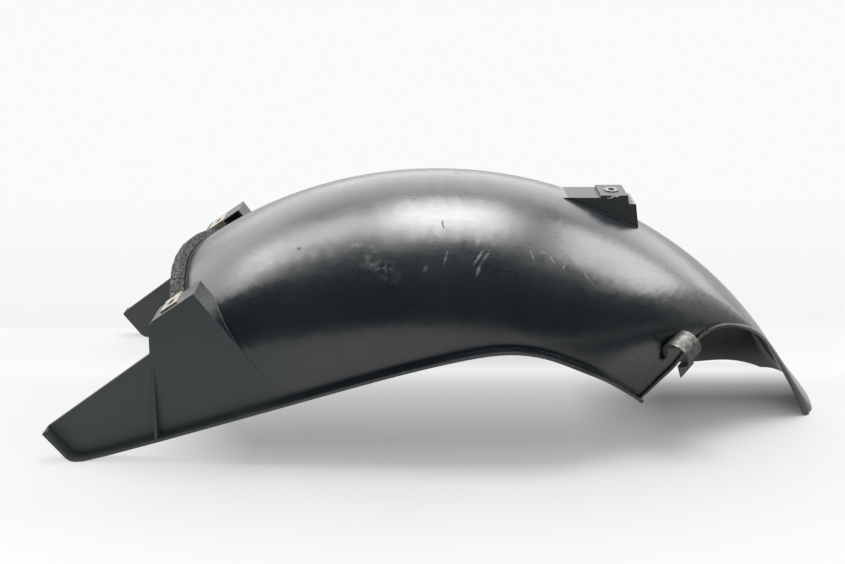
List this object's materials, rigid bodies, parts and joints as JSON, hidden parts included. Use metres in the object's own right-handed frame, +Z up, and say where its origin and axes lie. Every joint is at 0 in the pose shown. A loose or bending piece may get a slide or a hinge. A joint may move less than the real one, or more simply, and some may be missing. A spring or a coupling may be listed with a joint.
{
  "type": "motorcycle rear fender",
  "caption": "Domed black plastic rear wheel fender with flat side wings, front towers with clip nuts, a foam-lined front lip, a narrow arched tail, a crown bracket and a cable clip.",
  "frame": {"origin": "middle of the box around the part, on the floor it lies on", "axes": "+X towards the tail, +Y towards the side away from the cable clip, +Z up; the part lies on its two wing tips and the end of its tail"},
  "size_m": [0.6041, 0.216, 0.1902],
  "materials": {
    "moulding": "satin black moulded plastic, glossier on the dome, scuffed",
    "foam": "charcoal open-cell foam",
    "clip_steel": "weathered spring steel",
    "nut_steel": "plated spring steel, dulled",
    "bush_steel": "plain steel, dulled"
  },
  "bodies": {
    "root": {"fender": "moulding", "foam_seal": "foam", "clip_nut_left": "nut_steel", "clip_nut_right": "nut_steel", "rear_insert": "bush_steel", "cable_clip": "clip_steel"}
  },
  "joints": []
}
